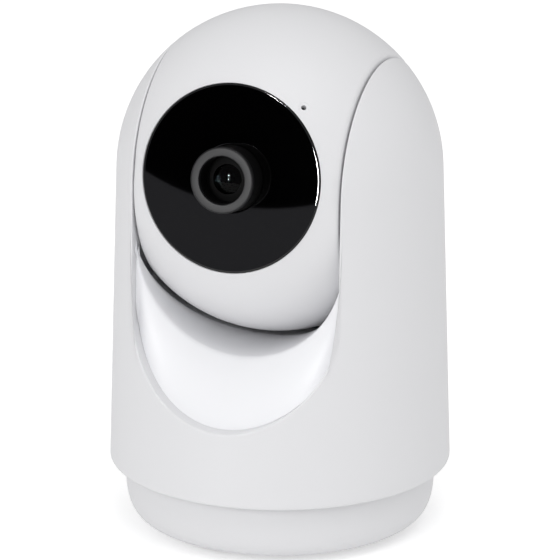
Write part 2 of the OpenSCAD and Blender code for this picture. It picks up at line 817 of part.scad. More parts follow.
module lens_barrel() color(black) in_head() rotate([90, 0, 0]) rotate_extrude() polygon([
  [6, lens_y - 13.2], [6, lens_y], [4.9, lens_y], [4.6, lens_y - 0.5], [2.5, lens_y - 1.1],
  [2.5, lens_y - 1.4], [4.45, lens_y - 1.4], [4.45, lens_y - 4.4], [3.65, lens_y - 4.6], [3.65, lens_y - 13.2]
]);

// A glass element: flat rim, curved front and back, by the sag of each circle.
module element(r, front_y, t, front_sag, back_sag) {
  steps = 10;
  rotate([90, 0, 0]) rotate_extrude($fn = 64) polygon(concat(
    [for (i = [0:steps]) let (k = i / steps) [r * k, front_y - t + back_sag * (1 - k * k)]],
    [for (i = [0:steps]) let (k = 1 - i / steps) [r * k, front_y - front_sag * k * k]]
  ));
}

module front_lens() color([0.4, 0.45, 0.6]) in_head() element(4.4, lens_y - 1.42, 2.2, 0.02, 0.6);

module inner_lenses() color([0.5, 0.55, 0.65]) in_head() {
  element(3.6, lens_y - 5.6, 1.8, 0.5, 0.1);
  element(3.6, lens_y - 9.4, 1.6, 0.2, 0.3);
}

module infrared_filter() color([0.6, 0.3, 0.35]) in_head() translate([-4, -17.9, -4]) cube([8, 0.5, 8]);

module lens_holder() color(black) in_head() difference() {
  translate([-7.5, -24, -7.5]) cube([15, 24 - board_y - 0.02, 15]);
  translate([0, -30, 0]) rod_y(6.05, 12.1);
  translate([0, -20, 0]) rod_y(3.9, 10);
  translate([-4.1, -18, -4.1]) cube([8.2, 5, 8.2]);
}

module image_sensor() color(dark) in_head() translate([-3.4, -board_y - 1.1, -3]) cube([6.8, 1.08, 6]);

module main_board() color(board_green) in_head() difference() {
  union() {
    translate([-17.5, -board_y, -22]) cube([34.5, board_t, 44]);
    translate([-9, board_t - board_y, -8]) cube([15, 1.8, 15]);
    translate([-14, board_t - board_y, 10]) cube([9, 1.4, 7]);
    translate([-2, board_t - board_y, 12]) cube([7, 3, 4]);
    translate([-12, board_t - board_y, -19]) cube([12, 2.6, 4]);
    translate([4, board_t - board_y, -17]) cube([5, 1, 5]);
  }
  for (p = board_posts) translate([p[0], -big / 2, p[1]]) rod_y(1.15, big, 32);
}

module board_screws() color(steel) in_head() for (p = board_posts)
  translate([p[0], board_t - board_y + 1.12, p[1]]) rotate([-90, 0, 0]) screw(6);

module infrared_board() color(black) in_head() translate([0, -recess_y - 1.02, 0]) difference() {
  rod_y(15.4, 1);
  translate([0, -1, 0]) rod_y(9.3, 5);
}

led_angles = [0, 60, 120, 180, 240, 300];

module infrared_leds() color(acetal) in_head() for (a = led_angles) rotate([0, a + 30, 0])
  translate([12.3, -recess_y - 1.04, 0]) rotate([90, 0, 0]) {
    translate([-1.5, -1.5, 0]) cube([3, 3, 0.5]);
    cylinder(r = 1.2, h = 0.8, $fn = 32);
  }

module light_sensor() color(dark) in_head()
  translate([-13.3, -recess_y - 1.04, -1]) rotate([90, 0, 0]) cube([2, 2, 0.7]);

module status_led() color([0.5, 0.8, 0.6]) in_head()
  translate([11.5, -recess_y - 1.04, -0.8]) rotate([90, 0, 0]) cube([1.6, 1.6, 0.7]);

module microphone_boot() color(dark) in_head() along(mic_dir) difference() {
  translate([0, 0, shell_in - 1.3]) cylinder(r = 1.65, h = 1.25, $fn = 32);
  cylinder(r = 0.5, h = big, $fn = 24);
}

module microphone() color(brass) in_head() along(mic_dir)
  translate([-1.1, -0.9, shell_in - 2.3]) cube([2.2, 1.8, 0.98]);

module card_board() color(board_green) in_head() difference() {
  translate([-9.5, card_y + 0.8, -30.4]) cube([23, 1, 15]);
  translate([11.5, 0, -18]) rod_y(1, 10, 32);
}

module card_socket() color(steel) in_head() difference() {
  translate([card_x - 7, card_y - 0.78, -32.4]) cube([14, 1.56, 14.5]);
  translate([card_x - 5.6, card_y - 0.45, -33]) cube([11.2, 0.9, 13.5]);
}

module reset_switch() color(steel) in_head()
  translate([button_x - 2.2, card_y + 0.78 - 3.2, -29.1]) cube([4.4, 3.2, 3.4]);

module reset_button() color(dark) in_head() translate([button_x, button_y, 0]) {
  translate([0, 0, -35]) cylinder(r = 1.52, h = 3.4, $fn = 48);
  translate([0, 0, -31.9]) cylinder(r = 2, h = 0.7, $fn = 48);
  translate([0, 0, -31.5]) cylinder(r = 1, h = 1.6, $fn = 48);
}

module wifi_antenna() color(board_green) in_head() translate([-15, -5, 29]) cube([30, 6, 0.8]);

module tilt_bushes() color(acetal) in_head() for (s = [0, 1]) mirror([s, 0, 0]) difference() {
  union() {
    translate([side_in - 0.6, 0, 0]) rod_x(bush_r - 0.02, wall + 0.6, 96);
    translate([side_in - 0.6, 0, 0]) rod_x(9, 0.58);
  }
  rod_x(pivot_r + 0.06, big, 96);
}

module tilt_motor() color(steel) in_head() translate([motor_x + 1, motor_y, 0]) rotate([0, -90, 0])
  rotate([0, 0, 0]) motor_turned();

// The tilt motor's can lies below and behind its shaft, its ears along the head's height.
module motor_turned() {
  dy = motor_can_y - motor_y;
  dz = motor_can_z;
  difference() {
    union() {
      translate([dz, dy, 0]) {
        cylinder(r = 10, h = 15);
        linear_extrude(1) difference() {
          union() {
            for (s = [-1, 1]) translate([s * motor_ear, 0]) circle(r = 2.6, $fn = 40);
            square([2 * motor_ear, 5.2], center = true);
          }
          for (s = [-1, 1]) translate([s * motor_ear, 0]) circle(r = 1.1, $fn = 32);
        }
        translate([-4, 7.5, 2]) cube([8, 4.5, 10]);
      }
      translate([0, 0, -1]) cylinder(r = 3.5, h = 2, $fn = 48);
    }
    translate([0, 0, -2]) cylinder(r = 1.3, h = 10, $fn = 48);
  }
}

module tilt_motor_screws() color(steel) in_head() for (e = [-1, 1])
  translate([motor_x - 1.12, motor_can_y, motor_can_z + e * motor_ear]) rotate([0, -90, 0]) screw(5.4);

module tilt_pinion() color(acetal) in_head() translate([tilt_gear_x + 0.1, motor_y, 0]) rotate([0, 90, 0]) {
  linear_extrude(gear_t - 0.2) rotate([0, 0, -90 + 180 / pinion_teeth]) gear_outline(pinion_teeth, 0.95, 1.25);
  translate([0, 0, -7.6]) cylinder(r = 1.22, h = 8, $fn = 48);
}

base_bowl();
base_deck();
rubber_feet();
base_screws();
tripod_insert();
ballast_plate();
power_board();
power_socket();
pan_gear();
pan_gear_screws();
pan_bush();
housing();
cradle();
chassis();
housing_screws();
cradle_screws();
pan_motor();
pan_motor_screws();
pan_retainer();
retainer_screws();
speaker();
speaker_gasket();
speaker_grille();
tilt_pivot_right();
tilt_pivot_left();
pivot_screws();
tilt_gear();
tilt_gear_screws();
pan_pinion();
head_front_shell();
head_rear_shell();
head_screws();
face_plate();
lens_ring();
lens_barrel();
front_lens();
inner_lenses();
infrared_filter();
lens_holder();
image_sensor();
main_board();
board_screws();
infrared_board();
infrared_leds();
light_sensor();
status_led();
microphone();
microphone_boot();
card_board();
card_socket();
reset_switch();
wifi_antenna();
tilt_bushes();
tilt_motor();
tilt_motor_screws();
tilt_pinion();
reset_button();
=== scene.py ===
import json
from math import acos, asin, atan2, cos, hypot, pi, radians, sin, sqrt

import bmesh
import bpy
from mathutils import Matrix, Vector


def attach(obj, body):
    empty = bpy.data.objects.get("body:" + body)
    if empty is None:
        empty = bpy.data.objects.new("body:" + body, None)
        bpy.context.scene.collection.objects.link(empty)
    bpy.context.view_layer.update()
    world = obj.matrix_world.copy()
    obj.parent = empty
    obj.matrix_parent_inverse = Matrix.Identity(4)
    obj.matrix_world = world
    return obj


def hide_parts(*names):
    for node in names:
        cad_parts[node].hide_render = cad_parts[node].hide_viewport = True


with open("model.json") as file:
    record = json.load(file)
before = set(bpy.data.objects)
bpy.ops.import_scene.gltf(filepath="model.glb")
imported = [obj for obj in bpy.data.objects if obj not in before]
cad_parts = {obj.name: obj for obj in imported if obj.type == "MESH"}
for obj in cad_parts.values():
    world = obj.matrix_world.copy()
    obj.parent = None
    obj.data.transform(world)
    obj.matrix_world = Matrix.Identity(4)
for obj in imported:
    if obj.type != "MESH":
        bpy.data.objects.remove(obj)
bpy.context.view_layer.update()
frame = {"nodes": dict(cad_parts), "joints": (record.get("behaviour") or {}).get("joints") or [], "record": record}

mm = 0.001
weld = 0.0005  # points nearer than this, in millimetres, are one
joints = {joint["name"]: joint for joint in frame["joints"]}
slotOfNode = {row["node"]: row["material_slot"] for row in frame["record"]["subparts"]}
ballZ = joints["tilt"]["pos_m"][2] / mm

print("stage: frame loaded,", len(frame["nodes"]), "nodes")


# two shader groups that the finishes share
def newGroup(name, inputs, outputs):
    group = bpy.data.node_groups.new(name, "ShaderNodeTree")
    for label, kind, value in inputs:
        socket = group.interface.new_socket(label, in_out="INPUT", socket_type=kind)
        if value is not None:
            socket.default_value = value
    for label, kind in outputs:
        group.interface.new_socket(label, in_out="OUTPUT", socket_type=kind)
    return group, group.nodes.new("NodeGroupInput"), group.nodes.new("NodeGroupOutput")


def addNode(tree, kind, **settings):
    node = tree.nodes.new(kind)
    for name, value in settings.items():
        setattr(node, name, value)
    return node


def mouldTexture():
    # fine spark-eroded mould grain: two noises, one for height and one for blotches
    group, inputs, outputs = newGroup(
        "mouldTexture",
        [("Vector", "NodeSocketVector", None), ("Grain", "NodeSocketFloat", 4000.0),
         ("Blotch", "NodeSocketFloat", 60.0)],
        [("Height", "NodeSocketFloat"), ("Mask", "NodeSocketFloat")])
    grain = addNode(group, "ShaderNodeTexNoise")
    grain.inputs["Detail"].default_value = 3
    grain.inputs["Roughness"].default_value = 0.6
    blotch = addNode(group, "ShaderNodeTexNoise")
    blotch.inputs["Detail"].default_value = 4
    cells = addNode(group, "ShaderNodeTexVoronoi")
    join = group.links.new
    for texture, scale in ((grain, "Grain"), (blotch, "Blotch"), (cells, "Grain")):
        join(inputs.outputs["Vector"], texture.inputs["Vector"])
        join(inputs.outputs[scale], texture.inputs["Scale"])
    blend = addNode(group, "ShaderNodeMix", data_type="FLOAT")
    blend.inputs["Factor"].default_value = 0.35
    join(grain.outputs["Fac"], blend.inputs["A"])
    join(cells.outputs["Distance"], blend.inputs["B"])
    join(blend.outputs["Result"], outputs.inputs["Height"])
    join(blotch.outputs["Fac"], outputs.inputs["Mask"])
    return group


def brushedLines():
    # long fine streaks along one axis, as rolled or drawn metal has
    group, inputs, outputs = newGroup(
        "brushedLines",
        [("Vector", "NodeSocketVector", None), ("Scale", "NodeSocketFloat", 900.0)],
        [("Height", "NodeSocketFloat"), ("Mask", "NodeSocketFloat")])
    stretch = addNode(group, "ShaderNodeMapping")
    stretch.inputs["Scale"].default_value = (1, 14, 1)
    streak = addNode(group, "ShaderNodeTexNoise")
    streak.inputs["Detail"].default_value = 5
    cloud = addNode(group, "ShaderNodeTexNoise")
    cloud.inputs["Scale"].default_value = 140
    join = group.links.new
    join(inputs.outputs["Vector"], stretch.inputs["Vector"])
    join(stretch.outputs["Vector"], streak.inputs["Vector"])
    join(inputs.outputs["Scale"], streak.inputs["Scale"])
    join(inputs.outputs["Vector"], cloud.inputs["Vector"])
    join(streak.outputs["Fac"], outputs.inputs["Height"])
    join(cloud.outputs["Fac"], outputs.inputs["Mask"])
    return group


mouldGroup = mouldTexture()
brushGroup = brushedLines()


def finish(name, colour, rough=0.5, spread=0.06, shade=0.04, grain=4000, blotch=60, bump=0.1, height=0.02,
           metallic=0.0, coat=0.0, specular=0.5, brushed=False, transmission=0.0, ior=1.5, sheen=0.0):
    # spread and shade say how far the mask moves roughness and colour, height is the relief in mm
    material = bpy.data.materials.new(name)
    material.use_nodes = True
    tree = material.node_tree
    shader = tree.nodes["Principled BSDF"]
    join = tree.links.new
    place = addNode(tree, "ShaderNodeTexCoord")
    texture = addNode(tree, "ShaderNodeGroup", node_tree=brushGroup if brushed else mouldGroup)
    if brushed:
        texture.inputs["Scale"].default_value = grain
    else:
        texture.inputs["Grain"].default_value = grain
        texture.inputs["Blotch"].default_value = blotch
    join(place.outputs["Object"], texture.inputs["Vector"])
    tint = addNode(tree, "ShaderNodeMix", data_type="RGBA")
    tint.inputs[6].default_value = [c * (1 - shade) for c in colour] + [1]
    tint.inputs[7].default_value = [min(1, c * (1 + shade)) for c in colour] + [1]
    join(texture.outputs["Mask"], tint.inputs["Factor"])
    join(tint.outputs[2], shader.inputs["Base Color"])
    roughRange = addNode(tree, "ShaderNodeMapRange")
    roughRange.inputs["To Min"].default_value = max(0.01, rough - spread)
    roughRange.inputs["To Max"].default_value = min(1, rough + spread)
    join(texture.outputs["Mask"], roughRange.inputs["Value"])
    join(roughRange.outputs["Result"], shader.inputs["Roughness"])
    relief = addNode(tree, "ShaderNodeBump")
    relief.inputs["Strength"].default_value = bump
    relief.inputs["Distance"].default_value = height * mm
    join(texture.outputs["Height"], relief.inputs["Height"])
    join(relief.outputs["Normal"], shader.inputs["Normal"])
    shader.inputs["Metallic"].default_value = metallic
    shader.inputs["Coat Weight"].default_value = coat
    shader.inputs["Coat Roughness"].default_value = 0.03
    shader.inputs["Specular IOR Level"].default_value = specular
    shader.inputs["Transmission Weight"].default_value = transmission
    shader.inputs["IOR"].default_value = ior
    shader.inputs["Sheen Weight"].default_value = sheen
    return material


finishes = {
    "white_shell": finish("whiteShell", (0.745, 0.745, 0.76), rough=0.46, spread=0.03, shade=0.006,
                          grain=5200, bump=0.09, height=0.012, specular=0.32),
    "panel_white": finish("panelWhite", (0.885, 0.888, 0.91), rough=0.4, spread=0.03, shade=0.006,
                          grain=5200, bump=0.08, height=0.01, specular=0.35),
    "dark_frame": finish("darkFrame", (0.022, 0.022, 0.025), rough=0.5, shade=0.1, grain=3000, bump=0.2),
    "face_black": finish("faceBlack", (0.0004, 0.0004, 0.0005), rough=0.012, spread=0.004, shade=0.1,
                         grain=500, blotch=45, bump=0.002, height=0.001),
    "ring_black": finish("ringBlack", (0.0065, 0.0065, 0.0075), rough=0.4, specular=0.3, shade=0.1,
                         grain=6000, bump=0.12, height=0.01),
    "barrel_black": finish("barrelBlack", (0.0012, 0.0012, 0.0014), rough=0.6, shade=0.12, grain=4000,
                           bump=0.2, specular=0.12),
    # the glass is tinted nearly black: painted shade standing in for the dark inside of the lens
    "lens_glass": finish("lensGlassPaintedShade", (0.03, 0.04, 0.045), rough=0.02, spread=0.01, shade=0.03, grain=300,
                         bump=0.003, height=0.002, transmission=1.0, ior=1.16),
    "filter_glass": finish("filterGlass", (0.45, 0.75, 0.8), rough=0.03, spread=0.01, shade=0.04, grain=300,
                           bump=0.003, height=0.002, transmission=0.9, ior=1.52),
    "foot_rubber": finish("footRubber", (0.025, 0.025, 0.027), rough=0.8, shade=0.14, grain=2200, bump=0.35,
                          height=0.03, sheen=0.15),
    "boot_rubber": finish("bootRubber", (0.03, 0.03, 0.032), rough=0.75, shade=0.14, grain=2600, bump=0.3),
    "steel": finish("zincSteel", (0.55, 0.56, 0.58), rough=0.34, spread=0.1, shade=0.1, grain=1400, bump=0.1,
                    metallic=1.0, brushed=True),
    "brass": finish("turnedBrass", (0.72, 0.5, 0.2), rough=0.28, spread=0.08, shade=0.08, grain=1800,
                    bump=0.1, metallic=1.0, brushed=True),
    "plate_steel": finish("ballastSteel", (0.2, 0.21, 0.23), rough=0.5, spread=0.12, shade=0.14, grain=700,
                          bump=0.16, metallic=0.85, brushed=True),
    "motor_can": finish("motorCan", (0.6, 0.61, 0.63), rough=0.24, spread=0.08, shade=0.06, grain=1100,
                        bump=0.07, metallic=1.0, brushed=True),
    "bearing_plastic": finish("acetalWhite", (0.78, 0.77, 0.7), rough=0.36, shade=0.03, grain=2800,
                              bump=0.08),
    "gear_plastic": finish("acetalGear", (0.72, 0.7, 0.62), rough=0.34, shade=0.04, grain=2800, bump=0.08),
    "board_green": finish("solderMask", (0.01, 0.1, 0.045), rough=0.3, shade=0.16, grain=900, blotch=260,
                          bump=0.22, height=0.04, coat=0.4),
    "chip_black": finish("chipBlack", (0.014, 0.014, 0.015), rough=0.6, shade=0.12, grain=4200, bump=0.22),
    "socket_metal": finish("stampedSteel", (0.62, 0.62, 0.63), rough=0.3, spread=0.1, shade=0.08, grain=1500,
                           bump=0.09, metallic=1.0, brushed=True),
    "cone_paper": finish("conePaper", (0.02, 0.02, 0.022), rough=0.75, shade=0.2, grain=1500, bump=0.4,
                         height=0.05),
    "foam_black": finish("foamBlack", (0.018, 0.018, 0.02), rough=0.92, shade=0.25, grain=1300, bump=0.8,
                         height=0.08, sheen=0.2),
    "led_clear": finish("clearLamp", (0.75, 0.78, 0.86), rough=0.12, shade=0.04, grain=1200, bump=0.02,
                        transmission=0.75, ior=1.5),
    "antenna_amber": finish("amberFilm", (0.42, 0.2, 0.035), rough=0.3, shade=0.12, grain=900, bump=0.1,
                            coat=0.5),
}

for nodeName, part in frame["nodes"].items():
    for place in part.material_slots:
        place.material = finishes[slotOfNode[nodeName]]

print("stage: finishes on every node")


# how a mesh in millimetres becomes a piece of the object
def toPiece(name, bm, body, slotName, replaced=(), sharp=35, turn=None):
    bmesh.ops.remove_doubles(bm, verts=bm.verts, dist=weld)
    bmesh.ops.recalc_face_normals(bm, faces=bm.faces)
    for face in bm.faces:
        face.smooth = True
    for edge in bm.edges:
        edge.smooth = len(edge.link_faces) == 2 and edge.calc_face_angle(pi) < radians(sharp)
    bmesh.ops.scale(bm, vec=(mm, mm, mm), verts=bm.verts)
    if turn is not None:
        bmesh.ops.transform(bm, matrix=turn, verts=bm.verts)
    mesh = bpy.data.meshes.new(name)
    bm.to_mesh(mesh)
    bm.free()
    piece = bpy.data.objects.new(name, mesh)
    bpy.context.scene.collection.objects.link(piece)
    mesh.materials.append(finishes[slotName])
    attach(piece, body)
    if replaced:
        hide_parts(*replaced)


def bentGrid(rings):
    # a grid whose rows are laid along the rings, first to last
    rows, columns = len(rings) - 1, len(rings[0]) - 1
    bm = bmesh.new()
    bmesh.ops.create_grid(bm, x_segments=columns, y_segments=rows, size=1)
    for vert in bm.verts:
        column = round((vert.co.x + 1) / 2 * columns)
        row = round((vert.co.y + 1) / 2 * rows)
        vert.co = rings[row][column]
    return bm


def turned(outline, steps=128, closed=True):
    # an outline of (radius, height) points, spun about Z
    bm = bmesh.new()
    verts = [bm.verts.new((r, 0, h)) for r, h in outline]
    edges = [bm.edges.new(pair) for pair in zip(verts, verts[1:])]
    if closed:
        edges.append(bm.edges.new((verts[-1], verts[0])))
    bmesh.ops.spin(bm, geom=verts + edges, cent=(0, 0, 0), axis=(0, 0, 1), angle=2 * pi, steps=steps,
                   use_merge=True)
    bmesh.ops.remove_doubles(bm, verts=bm.verts, dist=weld)
    bmesh.ops.dissolve_degenerate(bm, edges=bm.edges, dist=0.0004)
    return bm


def softOutline(points, steps=4):
    # points are (radius, height) or (radius, height, corner size), and a sized corner is rounded
    result = []
    for index, point in enumerate(points):
        if len(point) == 2:
            result.append(Vector(point))
            continue
        here, size = Vector(point[:2]), point[2]
        before = Vector(points[index - 1][:2]) - here
        after = Vector(points[(index + 1) % len(points)][:2]) - here
        start, end = here + before.normalized() * size, here + after.normalized() * size
        for step in range(steps + 1):
            t = step / steps
            result.append(start * (1 - t) ** 2 + here * 2 * t * (1 - t) + end * t * t)
    return result


def drilled(bm, cutter):
    # takes the cutter's shape out of the mesh, both still in millimetres
    pair = []
    for name, made in (("drillTarget", bm), ("drillTool", cutter)):
        bmesh.ops.remove_doubles(made, verts=made.verts, dist=weld)
        bmesh.ops.recalc_face_normals(made, faces=made.faces)
        mesh = bpy.data.meshes.new(name)
        made.to_mesh(mesh)
        made.free()
        holder = bpy.data.objects.new(name, mesh)
        bpy.context.scene.collection.objects.link(holder)
        pair.append(holder)
    target, tool = pair
    cut = target.modifiers.new("cut", "BOOLEAN")
    cut.operation = "DIFFERENCE"
    cut.solver = "EXACT"
    cut.object = tool
    bpy.context.view_layer.update()
    shaped = target.evaluated_get(bpy.context.evaluated_depsgraph_get())
    result = bmesh.new()
    result.from_mesh(shaped.to_mesh())
    shaped.to_mesh_clear()
    for holder in pair:
        mesh = holder.data
        bpy.data.objects.remove(holder)
        bpy.data.meshes.remove(mesh)
    return result


# the housing is a domed wall with a slot, and a lip that returns into it
shell = {
    "ballRadius": 36.5, "skirtRadius": 38.5, "skirtZ": 15, "wall": 1.9, "bottomEdge": 0.6,
    "slotRadius": 24.4, "slotZ": 56.3, "backZ": 70, "backCorner": 8,
    "fillet": 0.6, "lipDepth": 3.5, "lipWall": 1.2,
}
taper = acos(shell["ballRadius"] / hypot(shell["skirtRadius"], ballZ - shell["skirtZ"])) \
    - atan2(ballZ - shell["skirtZ"], shell["skirtRadius"])


def wallRadius(z, depth):
    ball = shell["ballRadius"] - depth
    if z > ballZ + ball * sin(taper):
        return sqrt(max(0, ball ** 2 - (z - ballZ) ** 2))
    return (ball - (z - ballZ) * sin(taper)) / cos(taper)


# runs along the slot's edge: steps, and where its foot starts and how far it goes, in degrees
slotRuns = {
    "arc": (28, -90, 24), "side": (12, -66, 17), "arm": (72, None, 0),
    "rear": (3, 49, 3), "corner": (8, 52, 8), "back": (18, 60, 30),
}


def slotStations():
    # right half of the slot's edge, from the front's lowest point over the arm to the back's middle
    stations = []
    for kind, (steps, start, sweep) in slotRuns.items():
        for k in range(steps):
            stations.append((kind, k / steps, None if start is None else start + sweep * k / steps))
    return stations + [("back", 1, 90)]


def slotPoint(station, grow, depth):
    kind, t = station[:2]
    reach = shell["slotRadius"] + grow
    corner = shell["backCorner"]
    side = 1
    if kind == "arm":
        rise = sqrt((shell["ballRadius"] - depth) ** 2 - reach ** 2)
        return Vector((reach, -rise * cos(pi * t), ballZ + rise * sin(pi * t)))
    if kind == "arc":
        x, z, side = reach * sin(pi / 2 * t), shell["slotZ"] - reach * cos(pi / 2 * t), -1
    elif kind == "side":
        x, z, side = reach, shell["slotZ"] + t * (ballZ - shell["slotZ"]), -1
    elif kind == "rear":
        x, z = reach, ballZ + t * (shell["backZ"] + corner - ballZ)
    elif kind == "corner":
        x = shell["slotRadius"] - corner + (corner + grow) * cos(pi / 2 * t)
        z = shell["backZ"] + corner - (corner + grow) * sin(pi / 2 * t)
    else:
        x, z = (shell["slotRadius"] - corner) * (1 - t), shell["backZ"] - grow
    return Vector((x, side * sqrt(wallRadius(z, depth) ** 2 - x * x), z))


def wallPoint(station, grow, depth, t):
    # on the wall, at share t of the way from the skirt to the slot's edge
    edge = slotPoint(station, grow, depth)
    ball = shell["ballRadius"] - depth
    edgeTurn = atan2(edge.y, edge.x)
    edgeRise = edge.z
    if edge.z > ballZ:
        edgeRise = ballZ + shell["ballRadius"] * asin(min(1, (edge.z - ballZ) / ball))
    outer = slotPoint(station, shell["fillet"], 0)
    footTurn = atan2(outer.y, outer.x) if station[2] is None else radians(station[2])
    foot = shell["skirtZ"] + (shell["bottomEdge"] if depth == 0 else 0)
    rise = foot + (edgeRise - foot) * t
    turn = footTurn + (edgeTurn - footTurn) * t
    if rise <= ballZ:
        radius, z = wallRadius(rise, depth), rise
    else:
        lift = (rise - ballZ) / shell["ballRadius"]
        radius, z = ball * cos(lift), ballZ + ball * sin(lift)
    return Vector((radius * cos(turn), radius * sin(turn), z))


def housingRings():
    fillet, lip, edge = shell["fillet"], shell["lipDepth"], shell["bottomEdge"]
    edgeSteps, wallSteps, beadSteps = 4, 44, 8
    half = slotStations()

    def ring(place):
        right = [place(station) for station in half]
        left = [Vector((-p.x, p.y, p.z)) for p in reversed(right[1:-1])]
        return right + left + right[:1]

    def skirtPoint(station, inward, lift):
        foot = wallPoint(station, fillet, 0, 0)
        foot.z = shell["skirtZ"] + lift
        return Vector((*(foot.xy * (1 - inward / foot.xy.length)), foot.z))

    def bead(station, t):
        start, corner, end = (slotPoint(station, *pair) for pair in ((fillet, 0), (0, 0), (0, fillet)))
        return start * (1 - t) ** 2 + corner * 2 * t * (1 - t) + end * t * t

    rings = [ring(lambda s: skirtPoint(s, shell["wall"], 0))]
    rings += [ring(lambda s, a=a: skirtPoint(s, edge * (1 - cos(a)), edge * (1 - sin(a))))
              for a in [pi / 2 * (edgeSteps - k) / edgeSteps for k in range(edgeSteps)]]
    rings += [ring(lambda s, t=k / wallSteps: wallPoint(s, fillet, 0, t)) for k in range(wallSteps + 1)]
    rings += [ring(lambda s, t=k / beadSteps: bead(s, t)) for k in range(1, beadSteps + 1)]
    rings += [ring(lambda s, d=d: slotPoint(s, 0, d)) for d in (1.6, 2.6, lip)]
    rings += [ring(lambda s, d=d: slotPoint(s, shell["lipWall"], d)) for d in (lip, shell["wall"])]
    rings += [ring(lambda s, t=t: wallPoint(s, shell["lipWall"], shell["wall"], t))
              for t in (0.9, 0.75, 0.6, 0.45, 0.3, 0.15, 0)]
    return rings + rings[:1]


grille = {"radius": 11.5, "z": 34, "cutDepth": 12, "cutY": 38}


def grilleCutter():
    cutter = bmesh.new()
    bmesh.ops.create_cone(cutter, cap_ends=True, segments=96, radius1=grille["radius"],
                          radius2=grille["radius"], depth=grille["cutDepth"])
    bmesh.ops.rotate(cutter, cent=(0, 0, 0), matrix=Matrix.Rotation(pi / 2, 3, "X"), verts=cutter.verts)
    bmesh.ops.translate(cutter, vec=(0, grille["cutY"], grille["z"]), verts=cutter.verts)
    return cutter


toPiece("housingWall", drilled(bentGrid(housingRings()), grilleCutter()), "turret", "white_shell",
        ["housing"])
print("stage: housing")


# the cradle is the recess panel, its rim and the pocket under the ball
cradle = {
    "seamRadius": 34.9, "rimY": 25, "rimZ": 70.2, "rimRadius": 24.35, "pocketRadius": 37.65, "rimRound": 0.9,
    "thick": 1.3, "rearZ": 69.2, "cheekInner": 24.42, "cheekOuter": 25.7, "cheekRadius": 24.6, "bore": 6.1,
    "skirtReach": 28.9, "skirtTop": 0.43,  # the cheek is wider below this share of its reach
    "span": 89.6,  # degrees each way from the middle
}


def cradleLine(turn):
    # front to back at one place along the slot's round: panel, rim, band and pocket
    rimTries, panelSteps, roundSteps, bandSteps, pocketSteps = 80, 14, 6, 4, 30
    reach = cradle["rimRadius"]
    x = reach * sin(turn)
    drop = reach * cos(turn)
    top = Vector((0, -cradle["rimY"], cradle["rimZ"] - drop))
    low = Vector((0, -sqrt(max((cradle["rimY"] + 0.6) ** 2, cradle["seamRadius"] ** 2 - x * x)),
                  shell["slotZ"] - drop))
    pocket = sqrt(cradle["pocketRadius"] ** 2 - x * x)

    def outside(point):
        return hypot(point.y, point.z - ballZ) > pocket

    for step in range(rimTries, -1, -1):
        rim = low.lerp(top, step / rimTries)
        if outside(rim):
            break
    startY = -sqrt(max(0.01, pocket ** 2 - (rim.z - ballZ) ** 2))
    bandEnd = Vector((0, max(rim.y, startY), rim.z))
    soft = min(cradle["rimRound"], 0.45 * (bandEnd.y - rim.y) + 0.02)
    along = (low - rim).normalized()
    points = [low.lerp(rim + along * soft, k / panelSteps) for k in range(panelSteps + 1)]
    for k in range(1, roundSteps + 1):
        t = k / roundSteps
        points.append((rim + along * soft) * (1 - t) ** 2 + rim * 2 * t * (1 - t)
                      + (rim + Vector((0, soft, 0))) * t * t)
    points += [points[-1].lerp(bandEnd, k / bandSteps) for k in range(1, bandSteps + 1)]
    first = atan2(bandEnd.z - ballZ, bandEnd.y)
    last = asin((cradle["rearZ"] - ballZ) / pocket)
    for k in range(1, pocketSteps + 1):
        angle = first + (last - first) * k / pocketSteps
        points.append(Vector((0, pocket * cos(angle), ballZ + pocket * sin(angle))))
    return [Vector((x, p.y, p.z)) for p in points]


def cradleBack(line):
    # the same line on the panel's hidden side
    result = []
    for k, point in enumerate(line):
        before, after = line[max(0, k - 1)], line[min(len(line) - 1, k + 1)]
        run = Vector((0, after.y - before.y, after.z - before.z)).normalized()
        result.append(point + Vector((0, run.z, -run.y)) * cradle["thick"])
    return result


def cradleRings():
    half = 48  # lines on each side of the middle
    lines = [cradleLine(radians(cradle["span"] * (k / half - 1))) for k in range(2 * half + 1)]
    rings = [line + cradleBack(line)[::-1] + line[:1] for line in lines]
    closed = [[sum(ring[:-1], Vector()) / (len(ring) - 1)] * len(ring) for ring in (rings[0], rings[-1])]
    return closed[:1] + rings + closed[1:]


toPiece("recessPanel", bentGrid(cradleRings()), "turret", "panel_white", ["cradle"], sharp=50)


def cheek(side):
    # the side plate between the ball and the arm, about the tilt axis
    inner, outer, rimBand = cradle["cheekInner"], cradle["cheekOuter"], 1
    bm = turned(softOutline([(cradle["bore"], inner), (cradle["cheekRadius"], inner, 0.3),
                             (cradle["cheekRadius"], outer), (cradle["bore"], outer)]), 96)
    bmesh.ops.rotate(bm, cent=(0, 0, 0), matrix=Matrix.Rotation(pi / 2, 3, "Y"), verts=bm.verts)
    for vert in bm.verts:
        reach = hypot(vert.co.y, vert.co.z)
        if reach > cradle["cheekRadius"] - rimBand and vert.co.z < -cradle["skirtTop"] * reach:
            grow = cradle["skirtReach"] / cradle["cheekRadius"]
            vert.co.yz = (vert.co.y * grow, vert.co.z * grow)
    if side < 0:
        bmesh.ops.mirror(bm, geom=bm.verts[:] + bm.edges[:] + bm.faces[:], axis="X", merge_dist=0)
        bmesh.ops.delete(bm, geom=[v for v in bm.verts if v.co.x > 0], context="VERTS")
    bmesh.ops.translate(bm, vec=(0, 0, ballZ), verts=bm.verts)
    toPiece("cheek" + ("Left" if side > 0 else "Right"), bm, "turret", "panel_white")


for side in (-1, 1):
    cheek(side)
print("stage: cradle")


